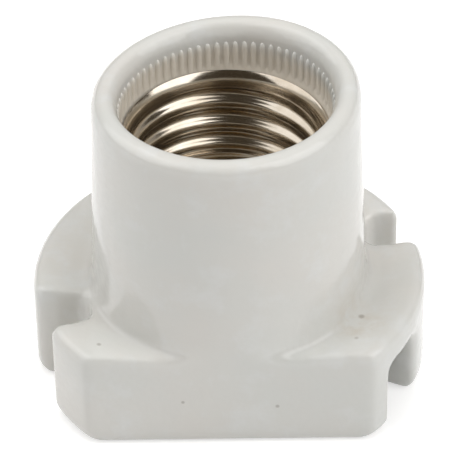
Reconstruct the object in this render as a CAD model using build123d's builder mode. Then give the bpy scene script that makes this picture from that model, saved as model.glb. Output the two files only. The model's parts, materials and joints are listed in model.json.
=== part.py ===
from build123d import *
import math
import os

# Skirted porcelain lamp holder for a 27 mm screw lamp. Millimetres, +Z up along the lamp's axis,
# origin on the base plane under that axis, -Y towards the front flat of the skirt.

# Barrel
overall_height = 46.0
barrel_rim_radius = 18.0
barrel_foot_radius = 18.9
rim_round = 1.7
mouth_bevel = 0.8
shell_clearance = 0.3
rib_step = 0.55
rib_count = 72
rib_depth = 0.4
rib_top_drop = 1.6
seat_drop = 0.5

# Skirt
skirt_radius = 27.05
skirt_height = 15.3
skirt_bevel = 0.9
base_bevel = 1.0
flat_inset = 0.15
deck_dish = 1.0
deck_root_bevel = 1.8
slot_corner = 2.2
wing_front_round = 2.0
wing_rear_round = 1.0
block_edge_round = 0.4
wing_front_y = -4.2
front_block_angle = 25.8
wing_rear_y = 6.1
back_block_y = 12.3
wire_notch_angle = -28.0
wire_notch_width = 7.8
wire_notch_height = 11.0
wire_notch_corner = 2.0

# Wiring chamber and the web above it
chamber_radius = 14.6
chamber_depth = 12.4
web_thickness = 5.0

# Screw shell: a narrow cup below, and above it a wall at the outer radius of the lamp's thread
lamp_thread_radius = 13.3
shell_sheet = 0.35
shell_recess = 6.9
thread_depth = 1.1
cup_height = 6.2
shell_eye_radius = 6.6

# Screws, on one circle: the shell's pair along X, the terminals' pair along Y
post_circle = 9.1
shell_screw_radius = 1.5
shell_screw_length = 8.6
shell_head_radius = 2.7
shell_head_height = 1.9
terminal_screw_radius = 1.75
terminal_screw_length = 4.3
terminal_head_radius = 3.0
terminal_head_height = 2.2
drive_slot_width = 0.8
drive_slot_depth = 1.0
hole_clearance = 0.3
blind_depth = 3.2
thread_clearance = 0.05
shell_nut_width = 5.5
shell_nut_height = 2.2

# Terminals
strip = 0.8
pad_width = 6.4
pad_length = 7.4
arm_width = 4.6
terminal_reach = 13.3
terminal_tab = 3.0
clamp_washer_width = 6.2
clamp_washer_thickness = 0.9

# Sprung centre contact
contact_travel = 2.5
travel_margin = 0.2
sleeve_radius = 2.5
sleeve_flange_radius = 4.2
sleeve_flange = 1.0
sleeve_guide = 2.0
sleeve_tail = 0.4
sleeve_bore_radius = 1.9
running_clearance = 0.07
shank_radius = 0.95
plunger_head_radius = 2.9
plunger_head_height = 2.3
plunger_crown = 1.2
plunger_engagement = 2.5
sleeve_nut_flats = 8.0
sleeve_nut_height = 2.4
lock_washer_radius = 4.0
lock_washer = 0.8
lock_washer_gap = 1.0
spring_wire = 0.35
spring_turns = 4
spring_clearance = 0.2
seat_clearance = 0.05
clip_thickness = 0.45
clip_radius = 1.9
clip_groove_depth = 0.3
shank_tail = 0.9

# Worked out from the sizes above
shell_outer_radius = lamp_thread_radius + shell_sheet
cup_radius = lamp_thread_radius - thread_depth
seat_radius = shell_outer_radius + shell_clearance
bore_radius = seat_radius + rib_step
rim_wall = barrel_rim_radius - bore_radius
rim_fillet = min(rim_round, rim_wall / 2)
mouth_chamfer = min(mouth_bevel, rim_wall / 4)
shell_top = overall_height - shell_recess
seat_ledge = shell_top - seat_drop
rib_top = overall_height - rib_top_drop
web_top = chamber_depth + web_thickness
plate_top = web_top + shell_sheet
shoulder_top = web_top + cup_height
deck_root = skirt_height - deck_dish
skirt_flat = barrel_foot_radius - flat_inset
slot_floor = barrel_foot_radius
front_block_slope = math.tan(math.radians(front_block_angle))
left_slot_floor = slot_floor * front_block_slope + wing_front_y
right_slot_floor = back_block_y - wing_rear_y
back_wall = math.sqrt(skirt_radius**2 - back_block_y**2) - slot_floor
slot_fillet = min(slot_corner, 0.45 * left_slot_floor, 0.45 * right_slot_floor, 0.45 * back_wall)
slot_length = skirt_radius - slot_floor
wing_front_fillet = min(wing_front_round, slot_length / 4)
wing_rear_fillet = min(wing_rear_round, slot_length / 4)
block_edge_fillet = min(block_edge_round, back_wall / 6)
beyond = skirt_radius + slot_corner
strip_bottom = chamber_depth - strip
washer_bottom = strip_bottom - clamp_washer_thickness
sleeve_top = web_top + sleeve_flange
nut_top = strip_bottom - lock_washer
nut_bottom = nut_top - sleeve_nut_height
sleeve_bottom = nut_bottom - sleeve_tail
spring_seat = sleeve_bottom + sleeve_guide
head_bottom = sleeve_top + contact_travel + travel_margin
head_top = head_bottom + plunger_head_height
guide_bottom = sleeve_top - plunger_engagement
guide_radius = sleeve_bore_radius - running_clearance
guide_bore_radius = shank_radius + running_clearance
clip_top = sleeve_bottom - seat_clearance
clip_bottom = clip_top - clip_thickness
shank_bottom = clip_bottom - shank_tail
groove_radius = shank_radius - clip_groove_depth
spring_radius = sleeve_bore_radius - spring_clearance - spring_wire / 2
spring_low = spring_seat + spring_wire / 2 + seat_clearance
spring_rise = guide_bottom - spring_seat - spring_wire - 2 * seat_clearance
upwards = (Align.CENTER, Align.CENTER, Align.MIN)
downwards = (Align.CENTER, Align.CENTER, Align.MAX)

os.makedirs("parts", exist_ok=True)


def polar(radius, degrees):
    """Point of the plan at a distance and a bearing from the lamp's axis."""
    return (radius * math.cos(math.radians(degrees)), radius * math.sin(math.radians(degrees)))


def on_skirt(y):
    """Distance from the YZ plane at which the skirt's circle crosses a line parallel to X."""
    return math.sqrt(skirt_radius**2 - y**2)


# One pressed and glazed piece: barrel, deck, skirt and web
with BuildPart() as porcelain_body:
    with BuildSketch(Plane.XZ) as section:
        with BuildLine():
            Polyline(
                (0, chamber_depth),
                (chamber_radius, chamber_depth),
                (chamber_radius, 0),
                (skirt_radius, 0),
                (skirt_radius, skirt_height),
                (barrel_foot_radius, deck_root),
                (barrel_rim_radius, overall_height),
                (bore_radius, overall_height),
                (bore_radius, seat_ledge),
                (seat_radius, seat_ledge),
                (seat_radius, web_top),
                (0, web_top),
                close=True,
            )
        make_face()
        rim = (barrel_rim_radius, overall_height)
        fillet(section.vertices().sort_by_distance(rim)[0], rim_fillet)
        bevels = (
            ((bore_radius, overall_height), mouth_chamfer),
            ((skirt_radius, 0), base_bevel),
            ((skirt_radius, skirt_height), skirt_bevel),
            ((barrel_foot_radius, deck_root), deck_root_bevel),
        )
        for corner, length in bevels:
            chamfer(section.vertices().sort_by_distance(corner)[0], length)
    revolve(axis=Axis.Z)

    # Plan of the skirt: front and back flats, bracket slots at the left front and the right rear
    with BuildSketch() as plan:
        Circle(skirt_radius)
        Rectangle(2 * skirt_radius, 2 * skirt_flat, mode=Mode.INTERSECT)
        with BuildLine():
            Polyline(
                (-beyond, wing_front_y),
                (-slot_floor, wing_front_y),
                (-slot_floor, -slot_floor * front_block_slope),
                (-beyond, -beyond * front_block_slope),
                close=True,
            )
        make_face(mode=Mode.SUBTRACT)
        with Locations((slot_floor, wing_rear_y)):
            Rectangle(
                beyond - slot_floor,
                right_slot_floor,
                align=(Align.MIN, Align.MIN),
                mode=Mode.SUBTRACT,
            )
        rounds = (
            ((-slot_floor, wing_front_y), slot_fillet),
            ((-slot_floor, -slot_floor * front_block_slope), slot_fillet),
            ((slot_floor, wing_rear_y), slot_fillet),
            ((slot_floor, back_block_y), slot_fillet),
            ((-on_skirt(wing_front_y), wing_front_y), wing_front_fillet),
            (polar(skirt_radius, 180 + front_block_angle), block_edge_fillet),
            ((on_skirt(wing_rear_y), wing_rear_y), wing_rear_fillet),
            ((on_skirt(back_block_y), back_block_y), block_edge_fillet),
        )
        for corner, radius in rounds:
            fillet(plan.vertices().sort_by_distance(corner)[0], radius)
    extrude(amount=overall_height, mode=Mode.INTERSECT)

    # Wire notches under the deck, from the chamber out through the skirt
    for bearing in (wire_notch_angle, wire_notch_angle + 180):
        outward = (*polar(1, bearing), 0)
        sideways = (*polar(1, bearing + 90), 0)
        chamber_middle = (*polar(chamber_radius / 2, bearing), 0)
        with BuildSketch(Plane(chamber_middle, x_dir=sideways, z_dir=outward)) as notch:
            Rectangle(wire_notch_width, 2 * wire_notch_height)
            fillet(notch.vertices().group_by(Axis.Z)[-1], wire_notch_corner)
        extrude(amount=beyond, mode=Mode.SUBTRACT)

    # Holes in the web: contact sleeve, shell screws, and blind ones over the terminal screws
    with Locations((0, 0, web_top)):
        Hole(sleeve_radius + hole_clearance, web_thickness)
        with PolarLocations(post_circle, 2):
            Hole(shell_screw_radius + hole_clearance, web_thickness)
    with Locations((0, 0, chamber_depth)):
        with PolarLocations(post_circle, 2, start_angle=90):
            Cylinder(
                terminal_screw_radius + hole_clearance, blind_depth, align=upwards, mode=Mode.SUBTRACT
            )

    # Band of raised ribs round the mouth
    with BuildSketch(Plane.XY.offset(seat_ledge)):
        with PolarLocations(bore_radius, rib_count):
            RegularPolygon(rib_depth, 4)
    extrude(amount=rib_top - seat_ledge)
porcelain_body.part.label = "porcelain_body"
export_step(porcelain_body.part, "parts/porcelain_body.step")

# Drawn cup that takes the lamp, screwed to the web through its bottom
with BuildPart() as screw_shell:
    with BuildSketch(Plane.XZ):
        with BuildLine():
            Polyline(
                (shell_eye_radius, web_top),
                (cup_radius + shell_sheet, web_top),
                (cup_radius + shell_sheet, shoulder_top - shell_sheet),
                (shell_outer_radius, shoulder_top - shell_sheet),
                (shell_outer_radius, shell_top),
                (lamp_thread_radius, shell_top),
                (lamp_thread_radius, shoulder_top),
                (cup_radius, shoulder_top),
                (cup_radius, plate_top),
                (shell_eye_radius, plate_top),
                close=True,
            )
        make_face()
    revolve(axis=Axis.Z)
    with Locations((0, 0, plate_top)):
        with PolarLocations(post_circle, 2):
            Hole(shell_screw_radius + thread_clearance, shell_sheet)
screw_shell.part.label = "screw_shell"
export_step(screw_shell.part, "parts/screw_shell.step")

# Shell screws, heads on the shell's bottom
with BuildPart() as shell_screws:
    with Locations((0, 0, plate_top)):
        with PolarLocations(post_circle, 2):
            Cylinder(shell_head_radius, shell_head_height, align=upwards)
            Cylinder(shell_screw_radius, shell_screw_length, align=downwards)
    with Locations((0, 0, plate_top + shell_head_height)):
        with PolarLocations(post_circle, 2):
            Box(
                drive_slot_width,
                2 * shell_head_radius,
                drive_slot_depth,
                align=downwards,
                mode=Mode.SUBTRACT,
            )
shell_screws.part.label = "shell_screws"
export_step(shell_screws.part, "parts/shell_screws.step")

# Square nuts of the shell screws: one against the web, one under the neutral terminal
with BuildPart() as shell_nuts:
    for side, seat in ((-1, chamber_depth), (1, strip_bottom)):
        with BuildSketch(Plane((side * post_circle, 0, seat))):
            Rectangle(shell_nut_width, shell_nut_width)
            Circle(shell_screw_radius + thread_clearance, mode=Mode.SUBTRACT)
        extrude(amount=-shell_nut_height)
shell_nuts.part.label = "shell_nuts"
export_step(shell_nuts.part, "parts/shell_nuts.step")

# Live terminal: folded brass from the contact sleeve to its screw, tab turned down at the end
with BuildPart() as live_terminal:
    with BuildSketch(Plane.XY.offset(strip_bottom)):
        Circle(lock_washer_radius)
        with Locations((0, -terminal_reach / 2)):
            Rectangle(pad_width, terminal_reach)
        Circle(sleeve_radius + thread_clearance, mode=Mode.SUBTRACT)
        with Locations((0, -post_circle)):
            Circle(terminal_screw_radius + thread_clearance, mode=Mode.SUBTRACT)
    extrude(amount=strip)
    with BuildSketch(Plane.XY.offset(strip_bottom)):
        with Locations((0, strip / 2 - terminal_reach)):
            Rectangle(pad_width, strip)
    extrude(amount=-terminal_tab)
live_terminal.part.label = "live_terminal"
export_step(live_terminal.part, "parts/live_terminal.step")

# Neutral terminal: folded brass from one shell screw round to its own screw, with the same tab
with BuildPart() as neutral_terminal:
    with BuildSketch(Plane.XY.offset(strip_bottom)):
        SlotArc(CenterArc((0, 0), post_circle, 0, 90), arm_width)
        with Locations((0, terminal_reach - pad_length / 2)):
            Rectangle(pad_width, pad_length)
        with Locations((post_circle, 0)):
            Circle(shell_screw_radius + thread_clearance, mode=Mode.SUBTRACT)
        with Locations((0, post_circle)):
            Circle(terminal_screw_radius + thread_clearance, mode=Mode.SUBTRACT)
    extrude(amount=strip)
    with BuildSketch(Plane.XY.offset(strip_bottom)):
        with Locations((0, terminal_reach - strip / 2)):
            Rectangle(pad_width, strip)
    extrude(amount=-terminal_tab)
neutral_terminal.part.label = "neutral_terminal"
export_step(neutral_terminal.part, "parts/neutral_terminal.step")

# Square clamp washers under the terminal screws
with BuildPart() as clamp_washers:
    with BuildSketch(Plane.XY.offset(washer_bottom)):
        with PolarLocations(post_circle, 2, start_angle=90):
            Rectangle(clamp_washer_width, clamp_washer_width)
            Circle(terminal_screw_radius + thread_clearance, mode=Mode.SUBTRACT)
    extrude(amount=clamp_washer_thickness)
clamp_washers.part.label = "clamp_washers"
export_step(clamp_washers.part, "parts/clamp_washers.step")

# Terminal screws, heads down, tips in the web's blind holes
with BuildPart() as terminal_screws:
    with Locations((0, 0, washer_bottom)):
        with PolarLocations(post_circle, 2, start_angle=90):
            Cylinder(terminal_head_radius, terminal_head_height, align=downwards)
            Cylinder(terminal_screw_radius, terminal_screw_length, align=upwards)
    with Locations((0, 0, washer_bottom - terminal_head_height)):
        with PolarLocations(post_circle, 2, start_angle=90):
            Box(
                drive_slot_width,
                2 * terminal_head_radius,
                drive_slot_depth,
                align=upwards,
                mode=Mode.SUBTRACT,
            )
terminal_screws.part.label = "terminal_screws"
export_step(terminal_screws.part, "parts/terminal_screws.step")

# Turned sleeve through the web, guide of the sprung centre contact
with BuildPart() as contact_sleeve:
    with BuildSketch(Plane.XZ):
        with BuildLine():
            Polyline(
                (sleeve_bore_radius, sleeve_top),
                (sleeve_flange_radius, sleeve_top),
                (sleeve_flange_radius, web_top),
                (sleeve_radius, web_top),
                (sleeve_radius, sleeve_bottom),
                (guide_bore_radius, sleeve_bottom),
                (guide_bore_radius, spring_seat),
                (sleeve_bore_radius, spring_seat),
                close=True,
            )
        make_face()
    revolve(axis=Axis.Z)
contact_sleeve.part.label = "contact_sleeve"
export_step(contact_sleeve.part, "parts/contact_sleeve.step")

# Split lock washer under the live terminal
with BuildPart() as sleeve_lock_washer:
    with BuildSketch(Plane.XY.offset(nut_top)):
        Circle(lock_washer_radius)
        Circle(sleeve_radius + thread_clearance, mode=Mode.SUBTRACT)
        with Locations((lock_washer_radius, 0)):
            Rectangle(2 * (lock_washer_radius - sleeve_radius), lock_washer_gap, mode=Mode.SUBTRACT)
    extrude(amount=lock_washer)
sleeve_lock_washer.part.label = "sleeve_lock_washer"
export_step(sleeve_lock_washer.part, "parts/sleeve_lock_washer.step")

# Hexagon nut of the sleeve
with BuildPart() as sleeve_nut:
    with BuildSketch(Plane.XY.offset(nut_bottom)):
        RegularPolygon(sleeve_nut_flats / 2, 6, major_radius=False)
        Circle(sleeve_radius + thread_clearance, mode=Mode.SUBTRACT)
    extrude(amount=sleeve_nut_height)
sleeve_nut.part.label = "sleeve_nut"
export_step(sleeve_nut.part, "parts/sleeve_nut.step")

# Turned plunger: crowned head, guide in the sleeve's bore, shank with a groove for its clip
with BuildPart() as contact_plunger:
    with BuildSketch(Plane.XZ):
        with BuildLine():
            Polyline(
                (0, shank_bottom),
                (shank_radius, shank_bottom),
                (shank_radius, clip_bottom),
                (groove_radius, clip_bottom),
                (groove_radius, clip_top),
                (shank_radius, clip_top),
                (shank_radius, guide_bottom),
                (guide_radius, guide_bottom),
                (guide_radius, head_bottom),
                (plunger_head_radius, head_bottom),
                (plunger_head_radius, head_top - plunger_crown),
                (plunger_head_radius - plunger_crown, head_top),
                (0, head_top),
                close=True,
            )
        make_face()
    revolve(axis=Axis.Z)
contact_plunger.part.label = "contact_plunger"
export_step(contact_plunger.part, "parts/contact_plunger.step")

# Compression spring between the sleeve's seat and the plunger's guide
with BuildPart() as contact_spring:
    coil = Helix(spring_rise / spring_turns, spring_rise, spring_radius, (0, 0, spring_low))
    with BuildSketch(Plane(coil @ 0, z_dir=coil % 0)):
        RegularPolygon(spring_wire / 2, 4)
    sweep(path=coil, is_frenet=True)
contact_spring.part.label = "contact_spring"
export_step(contact_spring.part, "parts/contact_spring.step")

# Snap clip that keeps the plunger in its sleeve
with BuildPart() as plunger_clip:
    with BuildSketch(Plane.XY.offset(clip_bottom)):
        Circle(clip_radius)
        Circle(groove_radius + thread_clearance, mode=Mode.SUBTRACT)
        with Locations((clip_radius, 0)):
            Rectangle(2 * clip_radius, 2 * groove_radius, mode=Mode.SUBTRACT)
    extrude(amount=clip_thickness)
plunger_clip.part.label = "plunger_clip"
export_step(plunger_clip.part, "parts/plunger_clip.step")
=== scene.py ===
"""Skirted porcelain lamp holder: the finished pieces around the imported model."""

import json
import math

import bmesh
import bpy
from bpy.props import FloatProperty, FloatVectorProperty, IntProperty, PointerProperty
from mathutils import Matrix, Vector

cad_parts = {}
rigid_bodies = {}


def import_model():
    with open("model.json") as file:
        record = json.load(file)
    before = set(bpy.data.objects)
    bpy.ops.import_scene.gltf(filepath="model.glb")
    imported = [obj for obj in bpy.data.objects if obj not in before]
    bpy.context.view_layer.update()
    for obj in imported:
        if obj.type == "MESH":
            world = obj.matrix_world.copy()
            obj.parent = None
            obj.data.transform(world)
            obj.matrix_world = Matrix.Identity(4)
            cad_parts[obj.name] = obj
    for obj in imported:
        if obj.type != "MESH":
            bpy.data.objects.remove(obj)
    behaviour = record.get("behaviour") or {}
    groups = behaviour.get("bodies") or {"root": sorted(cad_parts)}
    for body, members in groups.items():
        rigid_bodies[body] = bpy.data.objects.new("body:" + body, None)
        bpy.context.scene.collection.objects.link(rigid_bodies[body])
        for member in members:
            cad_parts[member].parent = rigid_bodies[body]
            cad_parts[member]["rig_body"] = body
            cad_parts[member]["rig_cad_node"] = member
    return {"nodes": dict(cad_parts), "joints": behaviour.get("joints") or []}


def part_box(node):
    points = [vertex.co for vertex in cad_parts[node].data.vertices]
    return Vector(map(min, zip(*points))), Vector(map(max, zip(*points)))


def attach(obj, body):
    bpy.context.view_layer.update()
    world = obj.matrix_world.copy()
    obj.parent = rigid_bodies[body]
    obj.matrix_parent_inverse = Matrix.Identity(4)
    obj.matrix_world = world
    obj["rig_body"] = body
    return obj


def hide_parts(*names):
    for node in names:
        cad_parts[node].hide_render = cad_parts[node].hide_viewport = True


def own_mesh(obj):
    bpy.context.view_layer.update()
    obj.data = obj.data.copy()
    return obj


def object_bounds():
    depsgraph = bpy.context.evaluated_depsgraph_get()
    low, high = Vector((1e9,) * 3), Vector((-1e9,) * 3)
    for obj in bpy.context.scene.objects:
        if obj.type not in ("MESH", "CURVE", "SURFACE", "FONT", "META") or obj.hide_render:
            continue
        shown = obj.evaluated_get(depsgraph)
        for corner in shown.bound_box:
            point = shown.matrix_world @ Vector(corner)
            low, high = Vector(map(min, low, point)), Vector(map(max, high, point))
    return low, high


bl_info = {
    "name": "Porcelain Lamp Holder",
    "version": (1, 0, 0),
    "blender": (4, 5, 0),
    "location": "View3D > Sidebar > Lamp Holder",
    "description": "Builds the body, the screw shell, the fittings and the stage of a lamp holder",
    "category": "Object",
}

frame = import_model()

CAD_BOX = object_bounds()
BODY_LOW, BODY_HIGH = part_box("porcelain_body")
SHELL_LOW, SHELL_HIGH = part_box("screw_shell")
SPRING_LOW, SPRING_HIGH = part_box("contact_spring")
FULL_TURN = 2 * math.pi
MM = 0.001

# Keywords shared by the settings
LENGTH = {"unit": "LENGTH", "precision": 5}
COLOUR = {"subtype": "COLOR", "size": 3, "min": 0, "max": 1}

# Gaps and angles for modelling
COPY_MERGE = 0.001 * MM
TURN_MERGE = 0.002 * MM
TRIM_MERGE = 0.04 * MM
LEVEL_REACH = 0.1 * MM
RING_REACH = 0.01 * MM
OVERCUT = 1 * MM
ROUND_SIDES = 180
SHARP_BEND = math.radians(60)

# Body: height from which its warps start, overlap of its mouth with the shell, and its foot's cutter
DECK = 15 * MM
SEAT_OVERLAP = 0.5 * MM
FOOT_RING_WIDTH = 2.6 * MM
FOOT_RING_HEIGHT = 4 * MM
CAGE_MARGIN = 1.1
RIB_SIDES = 12
RIB_RINGS = 8

# Worn edge of the wire notches: place of the front one, reach round it and height,
# each limit with the length over which it fades
NOTCH_CORNER = Vector((25.55, -9.17)) * MM
WEAR_STEPS = 50
WEAR_REACH, WEAR_REACH_FADE = 4.0 * MM, 3.0 * MM
WEAR_TOP, WEAR_TOP_FADE = 12.5 * MM, 2.5 * MM
WEAR_FOOT, WEAR_FOOT_FADE = -0.7 * MM, 3.0 * MM

# Shell: turns of the rolled wave, turns of them below the first full crest, steps of a quarter wave
THREAD_TURNS = 7
TURNS_BELOW = 4
QUARTER_STEPS = 7
SHEET_EDGE_ROUND = 0.1 * MM
SCREW_HEAD_RADIUS = 2.7 * MM
SCREW_HOLE_RADIUS = 1.55 * MM
SCREW_HOLE_RISE = 1.5 * MM
SCREW_HOLE_SIDES = 32

# Spring: sides of its wire, steps of one turn, gap at each end
WIRE_SIDES = 10
COIL_STEPS = 28
SPRING_GAP = 0.05 * MM

# Stage
AIM = Vector((0, 0, 22 * MM))
FLOOR_RADIUS = 4.0
FLOOR_SIDES = 64
FLOOR_GAP = 0.2 * MM
PAPER_DARK, PAPER_LIGHT = 0.78, 0.82
WARM_SKY = (1.0, 0.80, 0.54, 1.0)
SENSOR_WIDTH = 36.0
NEAR_CLIP = 0.01

# Name, setting with its power, size, place, and whether reflections show it
LAMPS = (
    ("left_lamp", "left_power", (0.92, 0.8), (-0.55, 0.02, 0.46), True),
    ("right_lamp", "right_power", (0.62, 0.8), (0.495, -0.24, 0.46), True),
    ("top_lamp", "top_power", (0.5, 0.5), (0.0, 0.08, 0.8), False),
    ("front_lamp", "front_power", (0.6, 0.3), (0.0, -0.7, 0.2), False),
)

# Middle and reach of the faint kiln stain on the deck, and of the painted warm light that brightens the
# wall inside the mouth
STAIN_SPOT, STAIN_REACH = (17.4 * MM, -11.0 * MM, 14.8 * MM), 5.5 * MM
MOUTH_LIGHT_SPOT, MOUTH_LIGHT_REACH = (0.0, 0.0, 36.0 * MM), 16.3 * MM

# Middle and reach, in millimetres, of the iron specks seen in the glaze
SPECKS = (
    (18.0, -9.8, 14.4, 0.6), (17.2, -14.6, 14.5, 0.5), (-17.6, -15.4, 14.8, 0.45),
    (-6.4, -18.75, 7.2, 0.35), (6.4, -18.75, 6.3, 0.4),
)


# Sizes and colours that a user would change


class GlazedBodySettings(bpy.types.PropertyGroup):
    """Sizes and colours of the pressed and glazed porcelain body"""

    voxel: FloatProperty(
        name="Voxel", description="Cell of the remesh that turns the pressing into one skin",
        default=0.44 * MM, min=0.2 * MM, max=2 * MM, **LENGTH,
    )
    softening: IntProperty(
        name="Softening", description="Smoothing steps that melt the edges as a thick glaze does",
        default=18, min=1, max=60,
    )
    mouth_radius: FloatProperty(
        name="Mouth radius", description="Radius of the wall that carries the ribs",
        default=14.52 * MM, **LENGTH,
    )
    rib_count: IntProperty(
        name="Ribs", description="Upright ribs round the mouth", default=72, min=3, max=180,
    )
    rib_radius: FloatProperty(
        name="Rib radius", description="Radius of one rib's round section",
        default=0.45 * MM, **LENGTH,
    )
    rib_sink: FloatProperty(
        name="Rib sink", description="Depth of the ribs' middles behind the wall",
        default=0.13 * MM, **LENGTH,
    )
    rib_taper: FloatProperty(
        name="Rib taper", description="Height over which a rib sinks into the wall at its tip",
        default=1.1 * MM, **LENGTH,
    )
    rib_foot: FloatProperty(
        name="Rib foot", description="Height at which the ribs start, inside the shell's seat",
        default=38.2 * MM, **LENGTH,
    )
    rib_top: FloatProperty(
        name="Rib top", description="Height at which the ribs end in a round tip",
        default=43.3 * MM, **LENGTH,
    )
    flare_foot: FloatProperty(
        name="Flare foot", description="Height at which the mouth starts to widen",
        default=44.2 * MM, **LENGTH,
    )
    flare_width: FloatProperty(
        name="Flare width", description="Widening of the mouth at the rim, on each side",
        default=1.0 * MM, **LENGTH,
    )
    foot_radius: FloatProperty(
        name="Foot radius", description="Radius of the barrel where it meets the deck",
        default=19.0 * MM, **LENGTH,
    )
    foot_height: FloatProperty(
        name="Foot height", description="Height of the deck beside the barrel",
        default=14.45 * MM, **LENGTH,
    )
    rim_slant: FloatProperty(
        name="Rim slant",
        description="Rise of the rim's back towards the right, as it came from the kiln",
        default=0.075,
    )
    rim_lift: FloatProperty(
        name="Rim lift", description="Rise of the rim's front", default=0.5 * MM, **LENGTH,
    )
    draft: FloatProperty(
        name="Draft", description="Share by which the skirt's ends draw in towards the base",
        default=0.003,
    )
    glaze: FloatVectorProperty(
        name="Glaze", description="Colour of the thick glaze",
        default=(0.775, 0.760, 0.722), **COLOUR,
    )
    # Partly the glaze's own tone and partly painted reflection: the bluish clouds also stand in for
    # cool reflections in the glaze
    cool_glaze_and_reflection: FloatVectorProperty(
        name="Cool glaze", description="Colour of the bluish clouds in the glaze",
        default=(0.750, 0.757, 0.728), **COLOUR,
    )
    # Painted light: a brighter, warmer colour inside the mouth stands in for the light that reaches the
    # ribbed wall there
    mouth_painted_light: FloatVectorProperty(
        name="Mouth tint", description="Colour of the thin glaze inside the mouth",
        default=(0.86, 0.80, 0.70), **COLOUR,
    )
    glaze_pale: FloatVectorProperty(
        name="Pale glaze", description="Colour of the glaze where it lies thick",
        default=(0.80, 0.81, 0.80), **COLOUR,
    )
    stain: FloatVectorProperty(
        name="Stain", description="Colour of the faint kiln stain on the deck",
        default=(0.62, 0.54, 0.43), **COLOUR,
    )
    speck: FloatVectorProperty(
        name="Speck", description="Colour of the iron specks in the glaze",
        default=(0.20, 0.16, 0.12), **COLOUR,
    )


class ScrewShellSettings(bpy.types.PropertyGroup):
    """Sizes and colours of the rolled screw shell"""

    groove_radius: FloatProperty(
        name="Groove radius", description="Inner radius at the bottom of the thread's grooves",
        default=13.3 * MM, **LENGTH,
    )
    crest_radius: FloatProperty(
        name="Crest radius", description="Inner radius at the thread's crests and of the cup below it",
        default=12.2 * MM, **LENGTH,
    )
    pitch: FloatProperty(
        name="Pitch", description="Rise of the thread in one turn",
        default=3.629 * MM, **LENGTH,
    )
    crest_drop: FloatProperty(
        name="Crest drop", description="Depth of the first full crest under the edge, at the back",
        default=4.95 * MM, **LENGTH,
    )
    sheet: FloatProperty(
        name="Sheet", description="Thickness of the plated sheet",
        default=0.35 * MM, **LENGTH,
    )
    collar: FloatProperty(
        name="Collar", description="Plain band under the thread", default=0.9 * MM, **LENGTH,
    )
    lip_radius: FloatProperty(
        name="Lip radius", description="Inner radius of the flared edge",
        default=13.75 * MM, **LENGTH,
    )
    neck_radius: FloatProperty(
        name="Neck radius", description="Inner radius under the flared edge",
        default=12.85 * MM, **LENGTH,
    )
    lip_height: FloatProperty(
        name="Lip height", description="Height of the flare", default=1.9 * MM, **LENGTH,
    )
    fade: FloatProperty(
        name="Fade", description="Height over which the thread runs out", default=1.0 * MM, **LENGTH,
    )
    shoulder: FloatProperty(
        name="Shoulder", description="Height of the step from the thread to the cup",
        default=23.6 * MM, **LENGTH,
    )
    eye_radius: FloatProperty(
        name="Eye radius", description="Radius of the hole in the cup's bottom",
        default=6.6 * MM, **LENGTH,
    )
    corner: FloatProperty(
        name="Corner", description="Radius of the drawn corners", default=0.7 * MM, **LENGTH,
    )
    steps: IntProperty(
        name="Steps", description="Steps of the thread in one turn", default=96, min=24, max=256,
    )
    nickel: FloatVectorProperty(
        name="Nickel", description="Colour of the plating",
        default=(0.70, 0.635, 0.545), **COLOUR,
    )
    nickel_dull: FloatVectorProperty(
        name="Dull nickel", description="Colour of the plating where it is hazy",
        default=(0.58, 0.50, 0.395), **COLOUR,
    )


class FittingSettings(bpy.types.PropertyGroup):
    """Sizes and colours of the brass and steel fittings"""

    edge: FloatProperty(
        name="Edge", description="Round on the edges of the fittings", default=0.14 * MM, **LENGTH,
    )
    wire_radius: FloatProperty(
        name="Wire radius", description="Radius of the spring's wire",
        default=0.175 * MM, unit="LENGTH", precision=6,
    )
    spring_turns: IntProperty(
        name="Turns", description="Turns of the spring", default=4, min=2, max=20,
    )
    brass: FloatVectorProperty(
        name="Brass", description="Colour of clean brass",
        default=(0.72, 0.52, 0.25), **COLOUR,
    )
    brass_dull: FloatVectorProperty(
        name="Dull brass", description="Colour of tarnished brass",
        default=(0.50, 0.34, 0.15), **COLOUR,
    )
    steel: FloatVectorProperty(
        name="Steel", description="Colour of zinc plated steel",
        default=(0.62, 0.62, 0.60), **COLOUR,
    )
    steel_dull: FloatVectorProperty(
        name="Dull steel", description="Colour of steel where the plating is thin",
        default=(0.42, 0.41, 0.39), **COLOUR,
    )


class StageSettings(bpy.types.PropertyGroup):
    """Camera, floor and lamps"""

    azimuth: FloatProperty(
        name="Azimuth", description="Turn of the camera round the lamp's axis",
        default=math.radians(0.549), subtype="ANGLE",
    )
    elevation: FloatProperty(
        name="Elevation", description="Height of the camera over the horizon",
        default=math.radians(38.77), subtype="ANGLE",
    )
    roll: FloatProperty(
        name="Roll", description="Roll of the camera", default=math.radians(-1.061), subtype="ANGLE",
    )
    distance: FloatProperty(
        name="Distance", description="Distance of the camera from its target",
        default=0.5, unit="LENGTH",
    )
    focal: FloatProperty(
        name="Focal length", description="Focal length on a 36 mm sensor", default=286.4,
    )
    target: FloatVectorProperty(
        name="Target", description="Point in the middle of the picture", subtype="TRANSLATION", size=3,
        default=(0.161 * MM, 0.0, 22.08 * MM),
    )
    left_power: FloatProperty(
        name="Left lamp", description="Power of the lamp on the left", default=2.8, unit="POWER",
    )
    right_power: FloatProperty(
        name="Right lamp", description="Power of the lamp on the right", default=2.85, unit="POWER",
    )
    top_power: FloatProperty(
        name="Top lamp", description="Power of the lamp overhead", default=3.1, unit="POWER",
    )
    front_power: FloatProperty(
        name="Front lamp", description="Power of the lamp over the camera", default=0.4, unit="POWER",
    )
    ambient: FloatProperty(
        name="Ambient", description="Strength of the even light all round", default=0.05,
    )
    floor_glow: FloatProperty(
        name="Floor glow", description="Share of the floor's white that shadows leave", default=0.5,
    )


# Helpers for modelling


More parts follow.
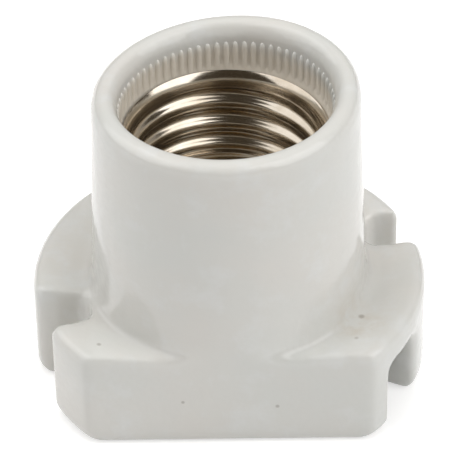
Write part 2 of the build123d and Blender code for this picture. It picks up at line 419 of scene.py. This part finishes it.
def only(piece):
    """Selects this piece alone and makes it the active one."""
    if bpy.context.object and bpy.context.object.mode != "OBJECT":
        bpy.ops.object.mode_set(mode="OBJECT")
    bpy.ops.object.select_all(action="DESELECT")
    piece.select_set(True)
    bpy.context.view_layer.objects.active = piece


def edit(piece):
    """Opens this piece in edit mode with nothing selected."""
    only(piece)
    bpy.ops.object.mode_set(mode="EDIT")
    bpy.ops.mesh.select_mode(type="VERT")
    bpy.ops.mesh.select_all(action="DESELECT")


def close():
    """Leaves edit mode."""
    bpy.ops.object.mode_set(mode="OBJECT")


def pick(piece, test):
    """Selects the vertices that pass the test, and what they bound, in the open piece."""
    mesh = bmesh.from_edit_mesh(piece.data)
    for vertex in mesh.verts:
        vertex.select_set(bool(test(vertex)))
    mesh.select_flush(True)
    bmesh.update_edit_mesh(piece.data)


def shape_with(piece, kind, **settings):
    """Adds a modifier to the piece and applies it."""
    only(piece)
    modifier = piece.modifiers.new(kind.title(), kind)
    for name, value in settings.items():
        setattr(modifier, name, value)
    bpy.ops.object.modifier_apply(modifier=modifier.name)


def cut_with(piece, cutter, operation="DIFFERENCE"):
    """Cuts the piece with another mesh, or joins that mesh to it, and removes the other mesh."""
    shape_with(piece, "BOOLEAN", object=cutter, operation=operation, solver="MANIFOLD")
    bpy.data.objects.remove(cutter)


def ease(value):
    """Soft step from nothing to one."""
    value = min(max(value, 0.0), 1.0)
    return value * value * (3 - 2 * value)


def weigh(piece, name, share):
    """Gives the piece a vertex group with a share that follows from each vertex's place."""
    piece.vertex_groups.clear()
    group = piece.vertex_groups.new(name=name)
    for vertex in piece.data.vertices:
        weight = share(vertex.co)
        if weight > 0:
            group.add([vertex.index], weight, "REPLACE")
    return group.name


def settle(piece):
    """Puts the piece's place into its mesh, so that its object sits at the origin."""
    only(piece)
    bpy.ops.object.transform_apply(location=True, rotation=True, scale=True)


def cylinder(name, radius, low, high, middle=(0.0, 0.0), sides=96):
    """Upright cylinder between two heights, for cutting."""
    bpy.ops.object.select_all(action="DESELECT")
    bpy.ops.mesh.primitive_cylinder_add(
        vertices=sides, radius=radius, depth=high - low, location=(*middle, (low + high) / 2)
    )
    piece = bpy.context.object
    piece.name = name
    settle(piece)
    return piece


def point(name, place):
    """Mesh of one vertex, the start of a drawn profile."""
    bpy.ops.object.select_all(action="DESELECT")
    bpy.ops.mesh.primitive_plane_add(size=MM, location=place)
    piece = bpy.context.object
    piece.name = name
    settle(piece)
    edit(piece)
    bpy.ops.mesh.select_all(action="SELECT")
    bpy.ops.mesh.merge(type="CENTER")
    return piece


def copy_of(node, name):
    """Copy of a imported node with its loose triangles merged."""
    only(frame["nodes"][node])
    bpy.ops.object.duplicate()
    piece = bpy.context.object
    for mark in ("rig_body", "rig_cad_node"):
        del piece[mark]
    piece.parent = None
    piece.matrix_world = Matrix.Identity(4)
    piece.name = name
    piece.data.name = name
    piece.data.materials.clear()
    edit(piece)
    bpy.ops.mesh.select_all(action="SELECT")
    bpy.ops.mesh.remove_doubles(threshold=COPY_MERGE)
    close()
    return piece


def finish_piece(piece, node, body, material, angle):
    """Gives a finished piece its material and shading and sets it in place of its node."""
    only(piece)
    bpy.ops.object.shade_smooth_by_angle(angle=math.radians(angle))
    piece.data.materials.clear()
    piece.data.materials.append(material)
    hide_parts(node)
    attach(piece, body)


# Helpers for materials


class Nodes:
    """Short way to add and join the nodes of one material."""

    def __init__(self, name):
        self.material = bpy.data.materials.new(name)
        self.material.use_nodes = True
        self.tree = self.material.node_tree
        self.tree.nodes.clear()

    def add(self, kind, inputs=None, **settings):
        node = self.tree.nodes.new("ShaderNode" + kind)
        for name, value in settings.items():
            setattr(node, name, value)
        for name, value in (inputs or {}).items():
            if isinstance(value, bpy.types.NodeSocket):
                self.tree.links.new(value, node.inputs[name])
            else:
                node.inputs[name].default_value = value
        return node

    def noise(self, place, scale, detail=2.0, roughness=0.5):
        """Noise over a place, in cells per metre."""
        node = self.add(
            "TexNoise",
            {"Vector": place, "Scale": scale, "Detail": detail, "Roughness": roughness},
        )
        return node.outputs["Fac"]

    def span(self, value, low, high, start=0.0, end=1.0, smooth=False):
        """Maps a value from one range to another and holds it there."""
        node = self.add(
            "MapRange",
            {"Value": value, "From Min": low, "From Max": high, "To Min": start, "To Max": end},
            interpolation_type="SMOOTHSTEP" if smooth else "LINEAR",
        )
        return node.outputs["Result"]

    def blend(self, share, first, second):
        """Mixes two colours."""
        node = self.add("Mix", data_type="RGBA")
        for index, value in ((0, share), (6, first), (7, second)):
            if isinstance(value, bpy.types.NodeSocket):
                self.tree.links.new(value, node.inputs[index])
            else:
                node.inputs[index].default_value = value if index == 0 else (*value[:3], 1.0)
        return node.outputs[2]

    def math(self, operation, first, second=0.0):
        """One sum on values."""
        node = self.add("Math", {0: first, 1: second}, operation=operation)
        return node.outputs[0]

    def near(self, place, spot, reach, softness):
        """One within a share (softness) of the reach round a spot, falling to nothing at the reach."""
        gap = self.add("VectorMath", {0: place, 1: spot}, operation="DISTANCE").outputs["Value"]
        return self.span(gap, reach, reach * softness, smooth=True)

    def place(self):
        """The piece's own coordinates, in metres."""
        return self.add("TexCoord").outputs["Object"]

    def surface(self, colour, roughness, height, strength, distance, **sockets):
        """Principled surface with its bump, as the material's output."""
        bump = self.add("Bump", {"Height": height, "Strength": strength, "Distance": distance})
        shader = self.add(
            "BsdfPrincipled",
            {"Base Color": colour, "Roughness": roughness, "Normal": bump.outputs["Normal"], **sockets},
        )
        self.add("OutputMaterial", {"Surface": shader.outputs["BSDF"]})
        return self.material


def glaze_material(settings):
    """Thick white glaze over pressed porcelain: cool clouds that are partly painted reflection, a kiln
    stain, iron specks, painted warm light inside the mouth and a wavy skin.
    """
    nodes = Nodes("white_glaze")
    place = nodes.place()
    # Cool clouds: partly the glaze's own tone, partly painted bluish reflection
    clouds = nodes.span(nodes.noise(place, scale=60.0, detail=3.0), 0.35, 0.65)
    colour = nodes.blend(clouds, settings.glaze, settings.cool_glaze_and_reflection)
    pale = nodes.span(nodes.noise(place, scale=160.0, detail=4.0, roughness=0.62), 0.52, 0.68)
    colour = nodes.blend(nodes.math("MULTIPLY", pale, 0.6), colour, settings.glaze_pale)
    patch = nodes.near(place, STAIN_SPOT, STAIN_REACH, softness=0.2)
    blotches = nodes.span(nodes.noise(place, scale=420.0, detail=4.0, roughness=0.6), 0.4, 0.65)
    stained = nodes.math("MULTIPLY", nodes.math("MULTIPLY", patch, blotches), 0.38)
    colour = nodes.blend(stained, colour, settings.stain)
    for x, y, z, reach in SPECKS:
        dot = nodes.near(place, (x * MM, y * MM, z * MM), reach * MM, softness=0.3)
        colour = nodes.blend(nodes.math("MULTIPLY", dot, 0.4), colour, settings.speck)
    # Painted light: the wall inside the mouth is painted brighter and warmer in place of the light that
    # reaches it
    mouth = nodes.near(place, MOUTH_LIGHT_SPOT, MOUTH_LIGHT_REACH, softness=0.93)
    colour = nodes.blend(mouth, colour, settings.mouth_painted_light)
    roughness = nodes.span(nodes.noise(place, scale=180.0, detail=3.0), 0.3, 0.7, start=0.07, end=0.13)
    waves = nodes.noise(place, scale=170.0, detail=3.0)
    pits = nodes.noise(place, scale=900.0)
    height = nodes.math("ADD", waves, nodes.math("MULTIPLY", pits, 0.06))
    return nodes.surface(colour, roughness, height, strength=0.4, distance=0.6 * MM, IOR=1.56)


def nickel_material(settings):
    """Bright nickel on drawn sheet: faint rings from the rolling, haze and fine scratches."""
    nodes = Nodes("bright_nickel")
    place = nodes.place()
    haze = nodes.span(nodes.noise(place, scale=240.0, detail=4.0, roughness=0.6), 0.35, 0.7)
    colour = nodes.blend(haze, settings.nickel, settings.nickel_dull)
    roughness = nodes.span(haze, 0.0, 1.0, start=0.14, end=0.22)
    rings = nodes.add("Mapping", {"Vector": place, "Scale": (0.06, 0.06, 1.0)}).outputs["Vector"]
    lines = nodes.noise(rings, scale=5200.0)
    grain = nodes.noise(place, scale=1500.0, detail=3.0)
    height = nodes.math("ADD", lines, nodes.math("MULTIPLY", grain, 0.5))
    return nodes.surface(colour, roughness, height, strength=0.08, distance=0.05 * MM, Metallic=1.0)


def fitting_material(name, bright, dull, low, high):
    """Turned or stamped metal: tarnish in clouds, worn shine and a fine tooled grain."""
    nodes = Nodes(name)
    place = nodes.place()
    tarnish = nodes.span(nodes.noise(place, scale=380.0, detail=4.0, roughness=0.62), 0.36, 0.68)
    colour = nodes.blend(tarnish, bright, dull)
    roughness = nodes.span(tarnish, 0.0, 1.0, start=low, end=high)
    drawn = nodes.add("Mapping", {"Vector": place, "Scale": (1.0, 1.0, 0.15)}).outputs["Vector"]
    tooling = nodes.noise(drawn, scale=3200.0)
    grain = nodes.noise(place, scale=900.0, detail=3.0)
    height = nodes.math("ADD", tooling, nodes.math("MULTIPLY", grain, 0.6))
    return nodes.surface(colour, roughness, height, strength=0.15, distance=0.05 * MM, Metallic=1.0)


# Pieces


class LAMP_HOLDER_OT_glazed_body(bpy.types.Operator):
    """Melts the pressed body into one softly edged skin and adds the ribs round its mouth"""

    bl_idname = "lamp_holder.glazed_body"
    bl_label = "Glazed Body"

    def execute(self, context):
        settings = context.scene.lamp_holder_body
        body = copy_of("porcelain_body", "glazed_body")
        low, high = SHELL_HIGH.z - SEAT_OVERLAP, BODY_HIGH.z + OVERCUT
        cut_with(body, cylinder("mouth_bore", settings.mouth_radius, low, high, sides=ROUND_SIDES))
        cut_with(body, self.flare(settings))
        cut_with(body, self.foot_ring(settings))
        shape_with(body, "REMESH", mode="VOXEL", voxel_size=settings.voxel, adaptivity=0.0)
        shape_with(body, "SMOOTH", factor=0.5, iterations=settings.softening)
        self.wear(body)
        cut_with(body, self.ribs(settings), "UNION")
        self.warp(
            body,
            lambda at: ease((at.z - DECK) / (BODY_HIGH.z - DECK)),
            lambda at: (0, 0, settings.rim_slant * at.x if at.y > 0 else settings.rim_lift),
        )
        self.warp(body, lambda at: max(1 - at.z / DECK, 0), lambda at: (-settings.draft * at.x, 0, 0))
        finish_piece(body, "porcelain_body", "holder", glaze_material(settings), 50)
        return {"FINISHED"}

    def flare(self, settings):
        """Cutter for the mouth's flared edge."""
        low, high = settings.flare_foot, BODY_HIGH.z + OVERCUT
        flare = cylinder("mouth_flare", settings.mouth_radius, low, high, sides=ROUND_SIDES)
        edit(flare)
        pick(flare, lambda vertex: vertex.co.z > high - LEVEL_REACH)
        widened = 1 + settings.flare_width * (high - low) / (BODY_HIGH.z - low) / settings.mouth_radius
        bpy.ops.transform.resize(value=(widened, widened, 1), center_override=(0, 0, high))
        close()
        return flare

    def foot_ring(self, settings):
        """Cutter that leaves only the glaze's own round between the barrel and the deck."""
        inner, outer = settings.foot_radius, settings.foot_radius + FOOT_RING_WIDTH
        low, high = settings.foot_height, settings.foot_height + FOOT_RING_HEIGHT
        ring = cylinder("foot_ring", outer, low, high, sides=ROUND_SIDES)
        core = cylinder("foot_core", inner, low - OVERCUT, high + OVERCUT, sides=ROUND_SIDES)
        cut_with(ring, core)
        return ring

    def wear(self, body):
        """Rounds the wire notches' outer edges on the wings more than the rest."""

        def notch(place):
            gap = min((place.xy - NOTCH_CORNER).length, (place.xy + NOTCH_CORNER).length)
            below = ease((WEAR_TOP - place.z) / WEAR_TOP_FADE)
            above = ease((place.z - WEAR_FOOT) / WEAR_FOOT_FADE)
            return ease((WEAR_REACH - gap) / WEAR_REACH_FADE) * (below * above)

        group = weigh(body, "worn", notch)
        shape_with(body, "SMOOTH", factor=0.5, iterations=WEAR_STEPS, vertex_group=group)

    def warp(self, body, share, pull):
        """Moves the body through a cage with pulled corners, as far as each place's share lets it."""
        bpy.ops.object.select_all(action="DESELECT")
        bpy.ops.object.add(type="LATTICE", location=(BODY_LOW + BODY_HIGH) / 2)
        cage = bpy.context.object
        cage.scale = (BODY_HIGH - BODY_LOW) * CAGE_MARGIN
        cage.data.interpolation_type_u = cage.data.interpolation_type_v = "KEY_LINEAR"
        for knot in cage.data.points:
            shift = pull(knot.co * cage.scale)
            knot.co_deform += Vector([part / size for part, size in zip(shift, cage.scale)])
        shape_with(body, "LATTICE", object=cage, vertex_group=weigh(body, "warped", share))
        body.vertex_groups.clear()
        bpy.data.objects.remove(cage)

    def ribs(self, settings):
        """Ring of upright round ribs with round tips."""
        tip = settings.rib_top - settings.rib_taper
        bpy.ops.object.select_all(action="DESELECT")
        bpy.ops.mesh.primitive_uv_sphere_add(
            segments=RIB_SIDES, ring_count=RIB_RINGS, radius=settings.rib_radius,
            location=(0, -settings.mouth_radius - settings.rib_sink, tip),
        )
        ribs = bpy.context.object
        ribs.name = "mouth_ribs"
        settle(ribs)
        edit(ribs)
        pick(ribs, lambda vertex: vertex.co.z < tip - RING_REACH)
        bpy.ops.transform.translate(value=(0, 0, settings.rib_foot - tip))
        pick(ribs, lambda vertex: vertex.co.z > tip + RING_REACH)
        drawn_out = settings.rib_taper / settings.rib_radius
        bpy.ops.transform.resize(value=(1, 1, drawn_out), center_override=(0, 0, tip))
        bpy.ops.mesh.select_all(action="SELECT")
        copies = settings.rib_count - 1
        bpy.ops.mesh.spin(
            steps=copies, dupli=True, angle=FULL_TURN * copies / settings.rib_count,
            center=(0, 0, 0), axis=(0, 0, 1),
        )
        close()
        return ribs


class LAMP_HOLDER_OT_screw_shell(bpy.types.Operator):
    """Rolls the lamp's thread into the drawn shell and closes it with its cup"""

    bl_idname = "lamp_holder.screw_shell"
    bl_label = "Screw Shell"

    def execute(self, context):
        settings = context.scene.lamp_holder_shell
        shell = self.thread(settings)
        self.run_out(shell, settings)
        self.cup(shell, settings)
        bends = {"limit_method": "ANGLE", "angle_limit": SHARP_BEND}
        shape_with(shell, "BEVEL", width=settings.corner, segments=4, **bends)
        shape_with(shell, "SOLIDIFY", thickness=settings.sheet, offset=-1.0)
        shape_with(shell, "BEVEL", width=SHEET_EDGE_ROUND, segments=2, **bends)
        for hole in self.screw_holes():
            cut_with(shell, hole)
        finish_piece(shell, "screw_shell", "holder", nickel_material(settings), 45)
        return {"FINISHED"}

    def thread(self, settings):
        """Wave of equal arcs, drawn for one pitch and screwed up along the axis."""
        pitch = settings.pitch
        half_depth = (settings.groove_radius - settings.crest_radius) / 2
        arc = 2 * math.atan(half_depth / (pitch / 4))
        bend = pitch / 4 / math.sin(arc)
        crest_at_side = SHELL_HIGH.z - settings.crest_drop - pitch / 4
        start = crest_at_side - pitch / 2 - TURNS_BELOW * pitch
        shell = point("screw_shell_rolled", (settings.groove_radius, 0, start))
        groove_middle = settings.groove_radius - bend
        crest_middle = settings.crest_radius + bend
        bends = (
            (groove_middle, start, arc, QUARTER_STEPS),
            (crest_middle, start + pitch / 2, -2 * arc, 2 * QUARTER_STEPS),
            (groove_middle, start + pitch, arc, QUARTER_STEPS),
        )
        for middle, height, turn, steps in bends:
            bpy.ops.mesh.spin(steps=steps, angle=turn, center=(middle, 0, height), axis=(0, 1, 0))
        close()
        shape_with(
            shell, "SCREW", axis="Z", angle=FULL_TURN, screw_offset=pitch,
            iterations=THREAD_TURNS, steps=settings.steps, render_steps=settings.steps,
            use_merge_vertices=True, merge_threshold=TURN_MERGE,
        )
        edit(shell)
        bpy.ops.mesh.select_all(action="SELECT")
        bpy.ops.mesh.remove_doubles(threshold=TURN_MERGE)
        for height, above in ((SHELL_HIGH.z, True), (settings.shoulder, False)):
            bpy.ops.mesh.select_all(action="SELECT")
            bpy.ops.mesh.bisect(
                plane_co=(0, 0, height), plane_no=(0, 0, 1),
                clear_outer=above, clear_inner=not above, threshold=TURN_MERGE,
            )
        bpy.ops.mesh.select_all(action="SELECT")
        bpy.ops.mesh.remove_doubles(threshold=TRIM_MERGE)
        for height in (SHELL_HIGH.z, settings.shoulder):
            self.pick_edge(shell, height)
            bpy.ops.transform.resize(value=(1, 1, 0), center_override=(0, 0, height))
        close()
        return shell

    def pick_edge(self, shell, height):
        """Selects the open edge of the sheet at this height."""
        bpy.ops.mesh.select_all(action="DESELECT")
        pick(shell, lambda vertex: vertex.is_boundary and abs(vertex.co.z - height) < LEVEL_REACH)

    def run_out(self, shell, settings):
        """Lets the thread run out into a plain wall below and into the flared edge above."""

        def below(place):
            return 1 - ease((place.z - settings.shoulder - settings.collar) / settings.fade)

        def above(place):
            return 1 - ease((SHELL_HIGH.z - place.z - settings.lip_height) / settings.fade)

        def flared(place):
            return max(1 - (SHELL_HIGH.z - place.z) / settings.lip_height, 0.0) ** 2

        ends = (
            (settings.groove_radius, below),
            (settings.neck_radius, above),
            (settings.lip_radius, flared),
        )
        for radius, share in ends:
            group = weigh(shell, "wall", share)
            shape_with(
                shell, "CAST", cast_type="CYLINDER", factor=1.0, size=radius,
                use_radius_as_size=False, vertex_group=group, use_z=False,
            )
        shell.vertex_groups.clear()

    def cup(self, shell, settings):
        """Draws the step, the cup and its bottom from the lower edge of the thread."""
        bottom = SHELL_LOW.z + settings.sheet
        edit(shell)
        self.pick_edge(shell, settings.shoulder)
        bpy.ops.mesh.extrude_region_move()
        self.draw_in(settings.crest_radius / settings.groove_radius, settings.shoulder)
        bpy.ops.mesh.extrude_region_move()
        bpy.ops.transform.translate(value=(0, 0, bottom - settings.shoulder))
        bpy.ops.mesh.extrude_region_move()
        self.draw_in(settings.eye_radius / settings.crest_radius, bottom)
        bpy.ops.mesh.select_all(action="SELECT")
        bpy.ops.mesh.normals_make_consistent(inside=False)
        close()

    def draw_in(self, share, height):
        """Draws the selected ring in towards the axis."""
        bpy.ops.transform.resize(value=(share, share, 1), center_override=(0, 0, height))

    def screw_holes(self):
        """Cutters for the two holes under the shell screws' heads."""
        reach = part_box("shell_screws")[1].x - SCREW_HEAD_RADIUS
        low, high = SHELL_LOW.z - OVERCUT, SHELL_LOW.z + SCREW_HOLE_RISE
        for side in (-1, 1):
            middle = (side * reach, 0)
            yield cylinder("screw_hole", SCREW_HOLE_RADIUS, low, high, middle, SCREW_HOLE_SIDES)


class LAMP_HOLDER_OT_contact_spring(bpy.types.Operator):
    """Coils the round wire of the contact's spring"""

    bl_idname = "lamp_holder.contact_spring"
    bl_label = "Contact Spring"

    def execute(self, context):
        settings = context.scene.lamp_holder_fittings
        wire = settings.wire_radius
        low = SPRING_LOW.z + wire
        rise = SPRING_HIGH.z - SPRING_LOW.z - 2 * wire
        coil = SPRING_HIGH.x - wire
        bpy.ops.object.select_all(action="DESELECT")
        bpy.ops.mesh.primitive_circle_add(
            vertices=WIRE_SIDES, radius=wire, location=(coil, 0, low), rotation=(FULL_TURN / 4, 0, 0)
        )
        spring = bpy.context.object
        spring.name = "coil_spring"
        settle(spring)
        shape_with(
            spring, "SCREW", axis="Z", angle=FULL_TURN, screw_offset=rise / settings.spring_turns,
            iterations=settings.spring_turns, steps=COIL_STEPS, render_steps=COIL_STEPS,
            use_merge_vertices=True, merge_threshold=TURN_MERGE,
        )
        edit(spring)
        bpy.ops.mesh.select_all(action="SELECT")
        bpy.ops.mesh.remove_doubles(threshold=TURN_MERGE)
        bpy.ops.mesh.select_all(action="DESELECT")
        bpy.ops.mesh.select_non_manifold(extend=False)
        bpy.ops.mesh.fill_holes(sides=WIRE_SIDES)
        bpy.ops.mesh.select_all(action="SELECT")
        bpy.ops.mesh.normals_make_consistent(inside=False)
        close()
        material = fitting_material("spring_steel", settings.steel, settings.steel_dull, 0.18, 0.34)
        finish_piece(spring, "contact_spring", "holder", material, 60)
        seat = SPRING_LOW.z - SPRING_GAP
        keep = self.kept(seat)
        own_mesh(spring)
        return {"FINISHED"}

    def kept(self, seat):
        """Share of its length that the spring keeps when the contact is pressed right down."""
        slide = next(joint for joint in frame["joints"] if joint["name"] == "contact_slide")
        travel = abs(min(slide["range_m"]))
        free = SPRING_HIGH.z + SPRING_GAP - seat
        return (free - travel) / free


def soften_fittings(nodes, body, material, edge):
    """Copies packed fittings and rounds their edges."""
    for node in nodes:
        piece = copy_of(node, node + "_finished")
        edit(piece)
        bpy.ops.mesh.select_all(action="SELECT")
        bpy.ops.mesh.dissolve_limited(angle_limit=math.radians(1))
        close()
        shape_with(
            piece, "BEVEL", width=edge, segments=2, limit_method="ANGLE", angle_limit=math.radians(50)
        )
        finish_piece(piece, node, body, material, 40)


class LAMP_HOLDER_OT_brass_fittings(bpy.types.Operator):
    """Rounds and finishes the brass terminals, their washers, the contact sleeve and the plunger"""

    bl_idname = "lamp_holder.brass_fittings"
    bl_label = "Brass Fittings"

    def execute(self, context):
        settings = context.scene.lamp_holder_fittings
        material = fitting_material("turned_brass", settings.brass, settings.brass_dull, 0.18, 0.36)
        fixed = ("live_terminal", "neutral_terminal", "clamp_washers", "contact_sleeve", "sleeve_nut")
        soften_fittings(fixed, "holder", material, settings.edge)
        soften_fittings(("contact_plunger",), "contact", material, settings.edge)
        return {"FINISHED"}


class LAMP_HOLDER_OT_steel_fittings(bpy.types.Operator):
    """Rounds and finishes the plated screws, nuts, lock washer and clip"""

    bl_idname = "lamp_holder.steel_fittings"
    bl_label = "Steel Fittings"

    def execute(self, context):
        settings = context.scene.lamp_holder_fittings
        material = fitting_material("zinc_steel", settings.steel, settings.steel_dull, 0.2, 0.38)
        fixed = ("shell_screws", "shell_nuts", "terminal_screws", "sleeve_lock_washer")
        soften_fittings(fixed, "holder", material, settings.edge)
        soften_fittings(("plunger_clip",), "contact", material, settings.edge / 2)
        return {"FINISHED"}


# Stage


class LAMP_HOLDER_OT_stage(bpy.types.Operator):
    """Lays the floor, hangs the lamps and sets up the camera"""

    bl_idname = "lamp_holder.stage"
    bl_label = "Stage"

    def execute(self, context):
        settings = context.scene.lamp_holder_stage
        context.scene.view_settings.view_transform = "Standard"
        self.floor(settings)
        self.world(context, settings)
        for name, power, size, place, mirrored in LAMPS:
            lamp = self.lamp(name, getattr(settings, power), size, place)
            lamp.visible_glossy = mirrored
        self.camera(context, settings)
        return {"FINISHED"}

    def floor(self, settings):
        """Paper floor that is seen nearly white and still takes the shadow."""
        bpy.ops.object.select_all(action="DESELECT")
        bpy.ops.mesh.primitive_circle_add(
            vertices=FLOOR_SIDES, radius=FLOOR_RADIUS, fill_type="NGON",
            location=(0, 0, CAD_BOX[0].z - FLOOR_GAP),
        )
        floor = bpy.context.object
        floor.name = "studio_floor"
        settle(floor)
        nodes = Nodes("studio_paper")
        place = nodes.place()
        fibre = nodes.noise(place, scale=900.0, detail=3.0)
        white = nodes.span(fibre, 0.3, 0.7, start=PAPER_DARK, end=PAPER_LIGHT)
        grey = nodes.blend(white, (0.0, 0.0, 0.0), (1.0, 1.0, 1.0))
        paper = nodes.add("BsdfDiffuse", {"Color": grey})
        glow = nodes.add("Emission", {"Color": (1, 1, 1, 1), "Strength": settings.floor_glow})
        lit = nodes.add("AddShader", {0: paper.outputs[0], 1: glow.outputs[0]})
        rays = nodes.add("LightPath")
        seen = nodes.math(
            "MAXIMUM",
            nodes.math("MAXIMUM", rays.outputs["Is Camera Ray"], rays.outputs["Is Glossy Ray"]),
            rays.outputs["Is Transmission Ray"],
        )
        mixed = nodes.add("MixShader", {0: seen, 1: paper.outputs[0], 2: lit.outputs[0]})
        nodes.add("OutputMaterial", {"Surface": mixed.outputs[0]})
        floor.data.materials.append(nodes.material)

    def world(self, context, settings):
        """Faint warm light from all round."""
        world = bpy.data.worlds.new("even_light")
        context.scene.world = world
        world.use_nodes = True
        sky = world.node_tree.nodes["Background"]
        sky.inputs["Color"].default_value = WARM_SKY
        sky.inputs["Strength"].default_value = settings.ambient

    def lamp(self, name, power, size, place):
        """Soft box that faces the lamp holder."""
        bpy.ops.object.select_all(action="DESELECT")
        bpy.ops.object.light_add(type="AREA", location=place)
        lamp = bpy.context.object
        lamp.name = name
        lamp.data.shape = "RECTANGLE"
        lamp.data.size, lamp.data.size_y = size
        lamp.data.energy = power
        lamp.rotation_euler = (AIM - Vector(place)).to_track_quat("-Z", "Y").to_euler()
        return lamp

    def camera(self, context, settings):
        """Camera at the photo's angle."""
        turn, rise, roll = settings.azimuth, settings.elevation, settings.roll
        back = Vector(
            (math.sin(turn) * math.cos(rise), -math.cos(turn) * math.cos(rise), math.sin(rise))
        )
        right = Vector((math.cos(turn), math.sin(turn), 0))
        up = back.cross(right)
        tilted_right = math.cos(roll) * right + math.sin(roll) * up
        tilted_up = math.cos(roll) * up - math.sin(roll) * right
        bpy.ops.object.select_all(action="DESELECT")
        bpy.ops.object.camera_add()
        camera = bpy.context.object
        camera.name = "photo_camera"
        camera.data.sensor_fit = "HORIZONTAL"
        camera.data.sensor_width = SENSOR_WIDTH
        camera.data.lens = settings.focal
        camera.data.clip_start = NEAR_CLIP
        matrix = Matrix((tilted_right, tilted_up, back)).transposed().to_4x4()
        matrix.translation = Vector(settings.target) + settings.distance * back
        camera.matrix_world = matrix
        context.scene.camera = camera


class VIEW3D_PT_lamp_holder(bpy.types.Panel):
    """Lists the pieces of the lamp holder"""

    bl_label = "Lamp Holder"
    bl_space_type = "VIEW_3D"
    bl_region_type = "UI"
    bl_category = "Lamp Holder"

    def draw(self, context):
        for settings, operators in LAYOUT:
            box = self.layout.box()
            group = getattr(context.scene, settings)
            for name in group.__annotations__:
                box.prop(group, name)
            for operator in operators:
                box.operator(operator.bl_idname)


LAYOUT = (
    ("lamp_holder_body", (LAMP_HOLDER_OT_glazed_body,)),
    ("lamp_holder_shell", (LAMP_HOLDER_OT_screw_shell,)),
    (
        "lamp_holder_fittings",
        (LAMP_HOLDER_OT_contact_spring, LAMP_HOLDER_OT_brass_fittings, LAMP_HOLDER_OT_steel_fittings),
    ),
    ("lamp_holder_stage", (LAMP_HOLDER_OT_stage,)),
)
GROUPS = {
    "lamp_holder_body": GlazedBodySettings,
    "lamp_holder_shell": ScrewShellSettings,
    "lamp_holder_fittings": FittingSettings,
    "lamp_holder_stage": StageSettings,
}
CLASSES = (
    *GROUPS.values(),
    *(operator for _, operators in LAYOUT for operator in operators),
    VIEW3D_PT_lamp_holder,
)


def register():
    for item in CLASSES:
        bpy.utils.register_class(item)
    for name, group in GROUPS.items():
        setattr(bpy.types.Scene, name, PointerProperty(type=group))


def unregister():
    for name in GROUPS:
        delattr(bpy.types.Scene, name)
    for item in reversed(CLASSES):
        bpy.utils.unregister_class(item)


def main():
    register()
    bpy.ops.lamp_holder.glazed_body()
    bpy.ops.lamp_holder.screw_shell()
    bpy.ops.lamp_holder.contact_spring()
    bpy.ops.lamp_holder.brass_fittings()
    bpy.ops.lamp_holder.steel_fittings()
    bpy.ops.lamp_holder.stage()


if __name__ == "__main__":
    main()
